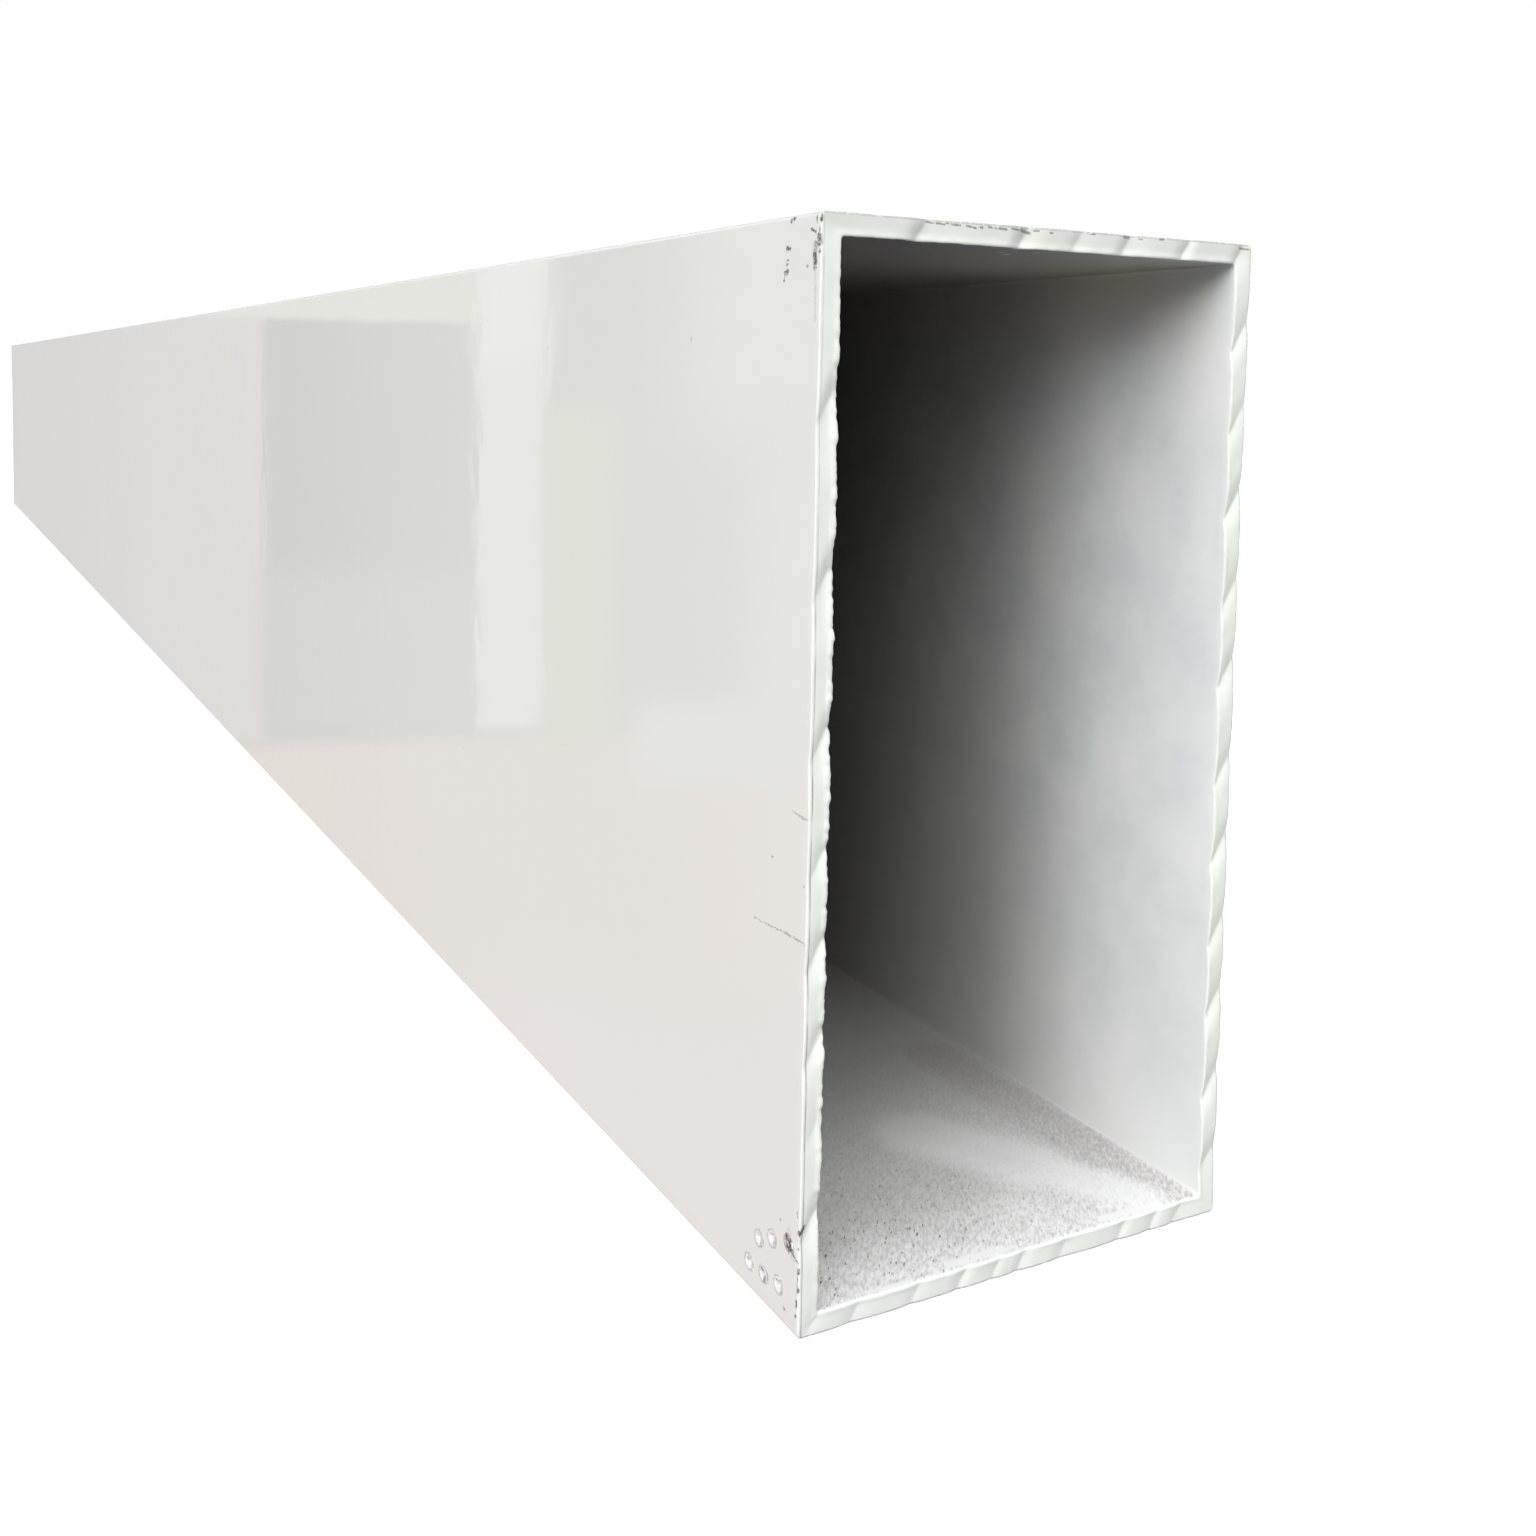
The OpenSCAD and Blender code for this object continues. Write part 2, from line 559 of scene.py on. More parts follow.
@dataclass(frozen=True)
class CoatedCut:
    """The same powder over a sawn face.

    It gives the eye a cooler, flatter white, with soft streaks along the wall and grime rubbed into its
    rim, a painted highlight along its left bead, painted shade over its top rim and along its outer edges,
    and a dark line in the groove beside the bead that is partly grime and partly painted shade.
    """

    front: float
    groove: float
    upper_rim: float
    name: str = "powder_coated_saw_cut"
    white: str = "F7F9F4"
    grey: str = "F0F2EC"
    # Painted highlight along the left bead of the cut
    bead: str = "FFFFFF"
    # Painted shade over the top rim of the cut
    top_rim_shade: str = "E2E5DE"
    # Dark grime of the rim and chips, also laid as painted shade along the outer edges and in the groove
    dirt_and_edge_shade: str = "5B5850"
    groove_width_mm: float = 0.2
    cloud_mm: float = 4.0
    grit_mm: float = 0.3
    grit_height_mm: float = 0.006

    def material(self) -> bpy.types.Material:
        """Builds the cut's node material.

        Returns:
            The finished material.
        """
        material, tree = new_material(self.name)
        place = add_node(tree, "ShaderNodeTexCoord").outputs["Object"]
        cloud = add_node(
            tree, "ShaderNodeTexNoise", {"Vector": place, "Scale": 1 / (self.cloud_mm * MM), "Detail": 3.0}
        )
        colour = add_node(
            tree, "ShaderNodeMix",
            {"Factor": cloud, "A": to_linear(self.white), "B": to_linear(self.grey)}, data_type="RGBA",
        )
        axes = add_node(tree, "ShaderNodeSeparateXYZ", {"Vector": place}).outputs
        # The top rim of the cut turned greyer: painted shade
        top_rim_shading = add_node(
            tree, "ShaderNodeMapRange",
            {"Value": axes["Z"], "From Min": self.upper_rim, "From Max": self.upper_rim + 1 * MM,
             "To Max": 0.6},
        )
        colour = add_node(
            tree, "ShaderNodeMix",
            {"Factor": top_rim_shading, "A": colour, "B": to_linear(self.top_rim_shade)}, data_type="RGBA",
        )
        grit = add_node(
            tree, "ShaderNodeTexNoise", {"Vector": place, "Scale": 1 / (self.grit_mm * MM), "Detail": 3.0}
        )
        broken = add_node(
            tree, "ShaderNodeMapRange", {"Value": grit, "From Min": 0.3, "From Max": 0.48}
        )
        flattened = add_node(
            tree, "ShaderNodeVectorMath",
            {0: place, 1: (1.0, 0.1, 1.0), 2: (0.0, 0.9 * (self.front + 0.2 * MM), 0.0)},
            operation="MULTIPLY_ADD",
        ).outputs[0]
        # The white line on the bead is a painted highlight and the thin lines along the outer edges are
        # painted shade; the specks on the rim and the chips are real grime
        colour = lay_marks(tree, colour, broken, self.front, (
            (flattened, BEAD_HIGHLIGHT, self.bead, 0.6),
            (flattened, EDGE_LINES, self.dirt_and_edge_shade, 0.4),
            (flattened, RIM_DIRT, self.dirt_and_edge_shade, 0.68),
            (place, EDGE_CHIPS, self.dirt_and_edge_shade, 1.0),
        ))
        # A dark line along the groove beside the bead, broken and stronger lower down: partly grime in the
        # groove and partly painted shade of the groove
        off_groove = add_node(tree, "ShaderNodeMath", {0: axes["X"], 1: self.groove}, operation="SUBTRACT")
        gap = add_node(tree, "ShaderNodeMath", {0: off_groove}, operation="ABSOLUTE")
        line = add_node(
            tree, "ShaderNodeMapRange",
            {"Value": gap, "From Min": self.groove_width_mm * MM / 2, "From Max": 0.0, "To Max": 0.75},
        )
        here = add_node(
            tree, "ShaderNodeMapRange", {"Value": cloud, "From Min": 0.35, "From Max": 0.6, "To Min": 0.2}
        )
        low_down = add_node(
            tree, "ShaderNodeMapRange",
            {"Value": axes["Z"], "From Min": 80 * MM, "From Max": 50 * MM, "To Min": 0.35},
        )
        share = line
        for factor in (here, low_down):
            share = add_node(tree, "ShaderNodeMath", {0: share, 1: factor}, operation="MULTIPLY")
        colour = add_node(
            tree, "ShaderNodeMix",
            {"Factor": share, "A": colour, "B": to_linear(self.dirt_and_edge_shade)}, data_type="RGBA",
        )
        relief = add_node(
            tree, "ShaderNodeBump",
            {"Height": grit, "Strength": 1.0, "Distance": self.grit_height_mm * MM},
        )
        shader = add_node(
            tree, "ShaderNodeBsdfPrincipled", {"Base Color": colour, "Roughness": 0.3, "Normal": relief}
        )
        add_node(tree, "ShaderNodeOutputMaterial", {"Surface": shader})
        return material


@dataclass(frozen=True)
class MillBore:
    """Mill-finish aluminium inside the tube, with powder that drifted into its mouths.

    It gives the eye a dull dark metal deep down and a chalky white that fades in from each end; the fade is
    partly drifted powder and partly painted shade of the bore. Painted shade also darkens the ceiling, most
    to the left, the walls and floor low down, and, warm, the walls just under the ceiling. The floor is
    greyer, with fine dark specks, brown grime, a wiped patch and white powder at its rims, and its grey
    deposit is partly painted shadow of the left wall. The drips on the ceiling are painted white as
    highlights.
    """

    front: float
    half_length: float
    floor: float
    ceiling: float
    name: str = "mill_finish_aluminium_with_overspray"
    metal: str = "7A7771"
    powder: str = "FFFFFF"
    thin_powder: str = "EFF2F3"
    # Grey deposit on the floor, partly painted shadow of the left wall and painted shade deeper in
    film_and_shadow: str = "9A9996"
    grain: str = "6F6E6B"
    grime: str = "A9A194"
    speck: str = "4A4C4E"
    # White drips on the ceiling, brightened as painted highlights
    drip_and_highlight: str = "FFFFF4"
    # Warm painted shade on the walls just under the ceiling
    warm_corner_shade: str = "F2EADC"
    # Painted shade on the walls and floor low in the bore
    low_wall_shade: str = "E4E5E4"
    fade_mm: float = 118.0
    cloud_mm: float = 9.0
    mottle_mm: float = 0.26
    grain_turn_deg: float = 36.5
    grain_stretch: float = 3.6
    speck_mm: float = 0.25
    die_line_mm: float = 0.6
    die_line_height_mm: float = 0.004

    def material(self) -> bpy.types.Material:
        """Builds the bore's node material.

        Returns:
            The finished material.
        """
        material, tree = new_material(self.name)
        place = add_node(tree, "ShaderNodeTexCoord").outputs["Object"]
        axes = add_node(tree, "ShaderNodeSeparateXYZ", {"Vector": place}).outputs
        off_middle = add_node(tree, "ShaderNodeMath", {0: axes["Y"]}, operation="ABSOLUTE")
        deep = add_node(
            tree, "ShaderNodeMath", {0: self.half_length, 1: off_middle}, operation="SUBTRACT"
        )
        # The powder fades to bare metal deeper in: partly drifted powder and partly painted shade of the
        # bore
        thin = add_node(
            tree, "ShaderNodeMapRange", {"Value": deep, "From Min": self.fade_mm * MM, "From Max": 20 * MM}
        )
        thick = add_node(
            tree, "ShaderNodeMapRange",
            {"Value": deep, "From Min": 45 * MM, "From Max": 12 * MM, "To Min": 0.7},
            interpolation_type="SMOOTHSTEP",
        )
        # Less powder on the ceiling, least to the left: painted shade
        shade_to_left = add_node(
            tree, "ShaderNodeMapRange",
            {"Value": axes["X"], "From Min": -20 * MM, "From Max": 20 * MM, "To Min": 0.26, "To Max": 0.6},
        )
        overhead = add_node(
            tree, "ShaderNodeMapRange",
            {"Value": axes["Z"], "From Min": self.ceiling - 0.15 * MM,
             "From Max": self.ceiling - 0.03 * MM},
        )
        held = add_node(tree, "ShaderNodeMix", {"Factor": overhead, "A": 1.0, "B": shade_to_left})
        drips = mark_mask(tree, place, self.front, DRIPS)
        drift_and_depth_shade = add_node(tree, "ShaderNodeMath", {0: thin, 1: thick}, operation="MULTIPLY")
        dusted_and_shaded = add_node(tree, "ShaderNodeMath", {0: drift_and_depth_shade, 1: held}, operation="MULTIPLY")
        cover = add_node(tree, "ShaderNodeMath", {0: dusted_and_shaded, 1: drips}, operation="MAXIMUM")
        cloud = add_node(
            tree, "ShaderNodeTexNoise", {"Vector": place, "Scale": 1 / (self.cloud_mm * MM), "Detail": 4.0}
        )
        patchy = add_node(
            tree, "ShaderNodeMapRange", {"Value": cloud, "From Min": 0.35, "From Max": 0.7}
        )
        powder = add_node(
            tree, "ShaderNodeMix",
            {"Factor": patchy, "A": to_linear(self.powder), "B": to_linear(self.thin_powder)},
            data_type="RGBA",
        )
        # Warm painted shade on the walls just under the ceiling, from a little way in
        under_ceiling = add_node(
            tree, "ShaderNodeMapRange",
            {"Value": axes["Z"], "From Min": self.ceiling - 10 * MM, "From Max": self.ceiling - 1 * MM,
             "To Max": 0.8},
            interpolation_type="SMOOTHSTEP",
        )
        past_mouth = add_node(
            tree, "ShaderNodeMapRange", {"Value": deep, "From Min": 2 * MM, "From Max": 14 * MM}
        )
        shaded_under_ceiling = add_node(tree, "ShaderNodeMath", {0: under_ceiling, 1: past_mouth}, operation="MULTIPLY")
        # Painted shade, growing towards the floor
        low_down = add_node(
            tree, "ShaderNodeMapRange",
            {"Value": axes["Z"], "From Min": self.floor + 43 * MM, "From Max": self.floor + 1 * MM,
             "To Max": 0.7},
        )
        for share, code in ((shaded_under_ceiling, self.warm_corner_shade), (low_down, self.low_wall_shade)):
            powder = add_node(
                tree, "ShaderNodeMix",
                {"Factor": share, "A": powder, "B": to_linear(code)}, data_type="RGBA",
            )
        powder = self.dress_floor(tree, place, deep, cloud, powder)
        colour = add_node(
            tree, "ShaderNodeMix",
            {"Factor": cover, "A": to_linear(self.metal), "B": powder}, data_type="RGBA",
        )
        # The drips painted white, as highlights
        colour = add_node(
            tree, "ShaderNodeMix",
            {"Factor": drips, "A": colour, "B": to_linear(self.drip_and_highlight)}, data_type="RGBA",
        )
        bare = add_node(tree, "ShaderNodeMath", {0: 1.0, 1: cover}, operation="SUBTRACT")
        dull = add_node(
            tree, "ShaderNodeMapRange", {"Value": cover, "To Min": 0.42, "To Max": 0.7}
        )
        lines = add_node(
            tree, "ShaderNodeMapping", {"Vector": place, "Scale": (1.0, 0.01, 1.0)}
        )
        die_lines = add_node(
            tree, "ShaderNodeTexNoise",
            {"Vector": lines, "Scale": 1 / (self.die_line_mm * MM), "Detail": 3.0},
        )
        relief = add_node(
            tree, "ShaderNodeBump",
            {"Height": die_lines, "Strength": 1.0, "Distance": self.die_line_height_mm * MM},
        )
        shader = add_node(
            tree, "ShaderNodeBsdfPrincipled",
            {"Base Color": colour, "Metallic": bare, "Roughness": dull, "Normal": relief},
        )
        add_node(tree, "ShaderNodeOutputMaterial", {"Surface": shader})
        return material

    def dress_floor(
        self, tree: bpy.types.NodeTree, place: bpy.types.NodeSocket, deep: bpy.types.Node,
        cloud: bpy.types.Node, powder: bpy.types.Node,
    ) -> bpy.types.Node:
        """Lays the grey deposit, partly painted shadow of the left wall, the wiped patch, the grime, the
        specks and the white rim on the floor of the bore.

        Args:
            tree: the material's node tree.
            place: the position on the surface, in metres.
            deep: the distance from the nearest end.
            cloud: a slow noise that breaks the patches up.
            powder: the colour of the powder all round the bore.

        Returns:
            The node with the colour of the powder, floor and all.
        """
        height = add_node(tree, "ShaderNodeSeparateXYZ", {"Vector": place}).outputs
        underfoot = add_node(
            tree, "ShaderNodeMapRange",
            {"Value": height["Z"], "From Min": self.floor + 0.25 * MM, "From Max": self.floor + 0.08 * MM},
        )
        fresh = add_node(
            tree, "ShaderNodeMapRange",
            {"Value": deep, "From Min": 16 * MM, "From Max": 3 * MM, "To Max": 0.85},
        )
        share = add_node(tree, "ShaderNodeMath", {0: fresh, 1: underfoot}, operation="MULTIPLY")
        powder = add_node(
            tree, "ShaderNodeMix",
            {"Factor": share, "A": powder, "B": to_linear(self.powder)}, data_type="RGBA",
        )
        uneven = add_node(
            tree, "ShaderNodeMath", {0: cloud, 1: 14 * MM, 2: deep}, operation="MULTIPLY_ADD"
        )
        past_rim = add_node(
            tree, "ShaderNodeMapRange",
            {"Value": uneven, "From Min": 7 * MM, "From Max": 22 * MM}, interpolation_type="SMOOTHSTEP",
        )
        short_of_deep = add_node(
            tree, "ShaderNodeMapRange",
            {"Value": uneven, "From Min": 65 * MM, "From Max": 24 * MM, "To Min": 0.1, "To Max": 0.45},
            interpolation_type="SMOOTHSTEP",
        )
        # The grey deposit heavier to the left: painted shadow of the left wall
        shade_to_left = add_node(
            tree, "ShaderNodeMapRange",
            {"Value": height["X"], "From Min": -8 * MM, "From Max": 20 * MM, "To Min": 1.0, "To Max": 0.4},
        )
        wiped = mark_mask(tree, place, self.front, WIPED)
        unwiped = add_node(tree, "ShaderNodeMath", {0: wiped, 1: -0.68, 2: 1.0}, operation="MULTIPLY_ADD")
        share = underfoot
        for factor in (past_rim, short_of_deep, shade_to_left, unwiped):
            share = add_node(tree, "ShaderNodeMath", {0: share, 1: factor}, operation="MULTIPLY")
        colour = add_node(
            tree, "ShaderNodeMix",
            {"Factor": share, "A": powder, "B": to_linear(self.film_and_shadow)}, data_type="RGBA",
        )
        stretched = add_node(
            tree, "ShaderNodeMapping",
            {"Vector": place, "Rotation": (0.0, 0.0, -math.radians(self.grain_turn_deg)),
             "Scale": (1.0, self.grain_stretch, 1.0)},
            vector_type="TEXTURE",
        )
        mottle = add_node(
            tree, "ShaderNodeTexNoise",
            {"Vector": stretched, "Scale": 1 / (self.mottle_mm * MM), "Detail": 4.0, "Roughness": 0.65},
        )
        grime = mark_mask(tree, place, self.front, GRIME)
        near = add_node(
            tree, "ShaderNodeMapRange",
            {"Value": deep, "From Min": 50 * MM, "From Max": 4 * MM, "To Min": 0.15},
        )
        for patch, low, most, code in (
            (grime, 0.2, 0.32, self.grime), (near, 0.4, 0.45, self.grain)
        ):
            broken = add_node(
                tree, "ShaderNodeMapRange",
                {"Value": mottle, "From Min": low, "From Max": low + 0.3, "To Max": most},
            )
            share = underfoot
            for factor in (patch, broken, unwiped):
                share = add_node(tree, "ShaderNodeMath", {0: share, 1: factor}, operation="MULTIPLY")
            colour = add_node(
                tree, "ShaderNodeMix",
                {"Factor": share, "A": colour, "B": to_linear(code)}, data_type="RGBA",
            )
        cells = add_node(
            tree, "ShaderNodeTexVoronoi", {"Vector": stretched, "Scale": 1 / (self.speck_mm * MM)}
        ).outputs
        chance = add_node(tree, "ShaderNodeSeparateColor", {"Color": cells["Color"]}).outputs
        reach = add_node(
            tree, "ShaderNodeMapRange",
            {"Value": chance["Red"], "From Min": 0.34, "From Max": 1.0, "To Max": 0.5},
        )
        inside = add_node(tree, "ShaderNodeMath", {0: reach, 1: cells["Distance"]}, operation="SUBTRACT")
        dot = add_node(
            tree, "ShaderNodeMapRange", {"Value": inside, "From Max": 0.12, "To Max": 0.95}
        )
        dense = add_node(
            tree, "ShaderNodeMapRange",
            {"Value": deep, "From Min": 34 * MM, "From Max": 7 * MM}, interpolation_type="SMOOTHSTEP",
        )
        clean = add_node(tree, "ShaderNodeMath", {0: grime, 1: -0.8, 2: 1.0}, operation="MULTIPLY_ADD")
        leftward = add_node(
            tree, "ShaderNodeMapRange",
            {"Value": height["X"], "From Min": 8 * MM, "From Max": -14 * MM, "To Min": 0.35},
        )
        share = underfoot
        for factor in (dot, dense, unwiped, clean, leftward, chance["Green"]):
            share = add_node(tree, "ShaderNodeMath", {0: share, 1: factor}, operation="MULTIPLY")
        colour = add_node(
            tree, "ShaderNodeMix",
            {"Factor": share, "A": colour, "B": to_linear(self.speck)}, data_type="RGBA",
        )
        drifted = mark_mask(tree, place, self.front, DRIFTED)
        ragged = add_node(
            tree, "ShaderNodeMath", {0: mottle, 1: 2 * MM, 2: deep}, operation="MULTIPLY_ADD"
        )
        rim = add_node(
            tree, "ShaderNodeMapRange",
            {"Value": ragged, "From Min": 1.7 * MM, "From Max": 1.1 * MM, "To Max": 0.8},
        )
        loose = add_node(
            tree, "ShaderNodeMapRange",
            {"Value": mottle, "From Min": 0.3, "From Max": 0.6, "To Min": 0.3, "To Max": 0.8},
        )
        scattered = add_node(tree, "ShaderNodeMath", {0: drifted, 1: loose}, operation="MULTIPLY")
        heaped = add_node(tree, "ShaderNodeMath", {0: scattered, 1: rim}, operation="MAXIMUM")
        share = add_node(tree, "ShaderNodeMath", {0: heaped, 1: underfoot}, operation="MULTIPLY")
        return add_node(
            tree, "ShaderNodeMix",
            {"Factor": share, "A": colour, "B": to_linear(self.powder)}, data_type="RGBA",
        )


@dataclass
class SawnTube:
    """The coated tube: an extruded section whose rims, saw steps and dents are modelled on it."""

    low: Vector
    high: Vector
    wall: float = 2 * MM
    outer_round: float = 0.5 * MM
    inner_round: float = 0.4 * MM
    outer_rim: float = 0.15 * MM
    inner_rim: float = 0.14 * MM
    corner_steps: int = 5
    outer_rim_steps: int = 4
    inner_rim_steps: int = 3
    cut_rows: int = 12
    cut_reach: float = 1.2 * MM
    collar_steps: int = 14
    collar_rows: tuple[float, ...] = (0.9 * MM, 1.8 * MM, 3.5 * MM, 12 * MM)
    sparse_row: float = 24 * MM
    dent_field: float = 11 * MM
    dent_pitch: float = 0.18 * MM
    bead_share: float = 0.4
    edge_share: float = 0.8
    groove_inset: float = 0.35 * MM
    groove_depth: float = 0.035 * MM
    groove_half_width: float = 0.07 * MM
    burr_height: float = 0.42 * MM
    burr_grain: float = 0.85 * MM
    burr_still: float = 0.2
    clean_edge_share: float = 0.3
    sway_height: float = 0.11 * MM
    sway_grain: float = 3.5 * MM

    @property
    def centre(self) -> Vector:
        """The middle of the tube."""
        return (self.low + self.high) / 2

    @property
    def size(self) -> Vector:
        """The tube's width, length and height."""
        return self.high - self.low

    @property
    def bore(self) -> Vector:
        """The width, length and height of the space inside."""
        return self.size - Vector((2 * self.wall, 0, 2 * self.wall))

    def end_y(self, end: TubeEnd) -> float:
        """The Y of an end."""
        return self.centre.y + end.value * self.size.y / 2

    def inset(self, place: Vector) -> float:
        """How far a place lies inside the outer faces, across the section."""
        return min(
            self.size.x / 2 - abs(place.x - self.centre.x), self.size.z / 2 - abs(place.z - self.centre.z)
        )

    def depth(self, place: Vector) -> float:
        """How far a place lies from the nearest end, along the tube."""
        return self.size.y / 2 - abs(place.y - self.centre.y)

    def on_cut(self, edge: bmesh.types.BMEdge) -> bool:
        """Whether an edge lies in the plane of an end."""
        return not along(edge, 1) and all(self.depth(v.co) < TOUCH for v in edge.verts)

    def build(self) -> bpy.types.Object:
        """Models the tube.

        Returns:
            The finished mesh object, in edit-free state.
        """
        bpy.ops.object.select_all(action="DESELECT")
        bpy.ops.mesh.primitive_cube_add(size=1.0, location=self.centre, scale=self.size)
        tube = bpy.context.active_object
        tube.name = tube.data.name = "coated_tube"
        bpy.ops.object.transform_apply(location=True, rotation=True, scale=True)
        bpy.ops.object.mode_set(mode="EDIT")
        self.shape_section(tube)
        self.round_bore_rims(tube)
        self.cut_collars(tube)
        self.refine_dents(tube)
        bpy.ops.object.mode_set(mode="OBJECT")
        return tube

    def shape_section(self, tube: bpy.types.Object) -> None:
        """Rounds the outer box and its rims, sets the bore in it and joins the two at the ends.

        Args:
            tube: the piece, in edit mode, as a plain box.
        """
        half_wall = self.wall / 2
        pick(tube, Part.EDGE, lambda e: along(e, 1))
        bpy.ops.mesh.bevel(offset=self.outer_round, segments=self.corner_steps, affect="EDGES")
        pick(tube, Part.EDGE, self.on_cut)
        bpy.ops.mesh.bevel(offset=self.outer_rim, segments=self.outer_rim_steps, affect="EDGES")
        bpy.ops.mesh.select_all(action="DESELECT")
        bpy.ops.mesh.primitive_cube_add(size=1.0, location=self.centre, scale=self.bore)
        pick(tube, Part.EDGE, lambda e: along(e, 1) and self.inset(e.verts[0].co) > half_wall)
        bpy.ops.mesh.bevel(offset=self.inner_round, segments=self.corner_steps, affect="EDGES")
        pick(tube, Part.FACE, lambda f: all(map(self.on_cut, f.edges)))
        bpy.ops.mesh.delete(type="ONLY_FACE")
        pick(tube, Part.FACE, lambda f: self.inset(f.calc_center_median()) > half_wall)
        bpy.ops.mesh.flip_normals()
        for end in TubeEnd:
            side = end.value
            pick(tube, Part.EDGE, lambda e: self.on_cut(e) and side * e.verts[0].co.y > 0)
            bpy.ops.mesh.bridge_edge_loops()
        bpy.ops.mesh.select_all(action="SELECT")
        bpy.ops.mesh.normals_make_consistent(inside=False)

    def round_bore_rims(self, tube: bpy.types.Object) -> None:
        """Rounds the inner edges of both cuts, and divides the cuts across the wall.

        Args:
            tube: the piece, in edit mode.
        """
        half_wall = self.wall / 2
        pick(
            tube, Part.EDGE,
            lambda e: self.on_cut(e) and all(self.inset(v.co) > half_wall for v in e.verts),
        )
        bpy.ops.mesh.bevel(offset=self.inner_rim, segments=self.inner_rim_steps, affect="EDGES")
        flat = self.wall - self.outer_rim - self.inner_rim
        pick(
            tube, Part.EDGE,
            lambda e: self.on_cut(e) and 0.8 * flat < e.calc_length() < 2 * flat,
        )
        bpy.ops.mesh.subdivide(number_cuts=self.cut_rows - 1)

    def cut_collars(self, tube: bpy.types.Object) -> None:
        """Cuts rings near both ends, and divides them finely round the section.

        Args:
            tube: the piece, in edit mode.
        """
        for row in (*self.collar_rows, self.sparse_row):
            for end in TubeEnd:
                bpy.ops.mesh.select_all(action="SELECT")
                ring = self.end_y(end) - end.value * row
                bpy.ops.mesh.bisect(plane_co=(0.0, ring, 0.0), plane_no=(0.0, 1.0, 0.0))
        dense = max(self.collar_rows) + TOUCH
        for axis in (0, 2):
            for share in (self.collar_steps, self.collar_steps * self.size[axis] / self.size[0]):
                pick(
                    tube, Part.EDGE,
                    lambda e: along(e, axis) > self.wall and all(self.depth(v.co) < dense for v in e.verts),
                )
                bpy.ops.mesh.subdivide(number_cuts=round(share) - 1)

    def refine_dents(self, tube: bpy.types.Object) -> None:
        """Divides the corner of the left face that holds the dents.

        Args:
            tube: the piece, in edit mode.
        """
        front = self.end_y(TubeEnd.FRONT)

        def in_field(vert: bmesh.types.BMVert) -> bool:
            """Whether a vertex lies in the corner of the left face with the dents."""
            return (
                abs(vert.co.x - self.low.x) < TOUCH
                and self.low.z + self.outer_round < vert.co.z < self.low.z + self.dent_field
                and self.collar_rows[0] - TOUCH < vert.co.y - front < max(self.collar_rows) + TOUCH
            )

        pick(tube, Part.EDGE, lambda e: along(e, 2) and all(map(in_field, e.verts)))
        bpy.ops.mesh.subdivide(number_cuts=1)
        for near, far in zip(self.collar_rows, self.collar_rows[1:]):
            band = far - near
            pick(
                tube, Part.EDGE,
                lambda e: abs(along(e, 1) - band) < TOUCH and all(map(in_field, e.verts)),
            )
            bpy.ops.mesh.subdivide(number_cuts=round(band / self.dent_pitch) - 1)

    def displace(
        self, tube: bpy.types.Object, name: str, weight: Callable, strength: float, direction: str,
        grain: float = 0.0, still: float = 0.5,
    ) -> None:
        """Moves the vertices of the tube along one direction with a modifier that is then applied.

        Args:
            tube: the piece, in object mode.
            name: the name of the vertex group and the modifier.
            weight: takes a vertex's place and gives how much of the move it gets, from 0 to 1.
            strength: the whole move, in metres.
            direction: the modifier's direction.
            grain: the size of the lumps where the move goes both ways by chance, or 0 for an even move.
            still: the level of the lumps that stays in place.
        """
        group = tube.vertex_groups.new(name=name)
        for vert in tube.data.vertices:
            share = weight(vert.co)
            if share > 0:
                group.add([vert.index], share, "REPLACE")
        change = tube.modifiers.new(name, "DISPLACE")
        change.vertex_group = group.name
        change.direction = direction
        change.mid_level = 0.0
        change.strength = strength
        if grain:
            change.texture = bpy.data.textures.new(name, "CLOUDS")
            change.texture.noise_scale = grain
            change.texture_coords = "LOCAL"
            change.mid_level = still
        bpy.ops.object.modifier_apply(modifier=change.name)
        tube.vertex_groups.remove(tube.vertex_groups[name])

    def fade(self, place: Vector) -> float:
        """The share of the saw's relief at a place: most at the inner edge, none far from the cut."""
        across = smooth_step((self.inset(place) - self.groove_inset / 2) / (0.6 * self.wall))
        near = 1 - smooth_step((self.depth(place) - 0.4 * MM) / (2.6 * MM))
        off_bead = smooth_step((place.x - self.low.x - self.wall) / (2 * self.wall))
        outer = self.bead_share + (self.edge_share - self.bead_share) * off_bead
        return near * (outer + (1 - outer) * across)

    def saw(self, tube: bpy.types.Object, cuts: dict[TubeEnd, SawCut]) -> None:
        """Sinks the stepped saw cut into both ends, with the bead, the burr and the lumps of the coat.

        Args:
            tube: the piece, in object mode.
            cuts: the cut at each end.
        """
        def groove(place: Vector) -> float:
            """How much of the groove beside the bead a place takes."""
            off_line = place.x - self.low.x - self.groove_inset
            return math.exp(-((off_line / self.groove_half_width) ** 2))

        def burr(place: Vector) -> float:
            """How much of the burr on the inner edge a place takes."""
            off_wall = self.wall - self.inner_rim - self.inset(place)
            off_edge = max(off_wall, self.depth(place) - 2 * self.inner_rim)
            left = place.x < self.low.x + 1.1 * self.wall
            off_middle = abs(place.z - self.centre.z) / self.size.z
            share = 1 - smooth_step((off_middle - 0.25) / 0.3) if left else 0.0
            most = self.clean_edge_share + (1 - self.clean_edge_share) * share
            return (1 - smooth_step(off_edge / (0.5 * MM))) * most

        def sway(place: Vector) -> float:
            """How much of the coat's long lumps a place takes."""
            return 1 - smooth_step(self.depth(place) / (2 * MM))

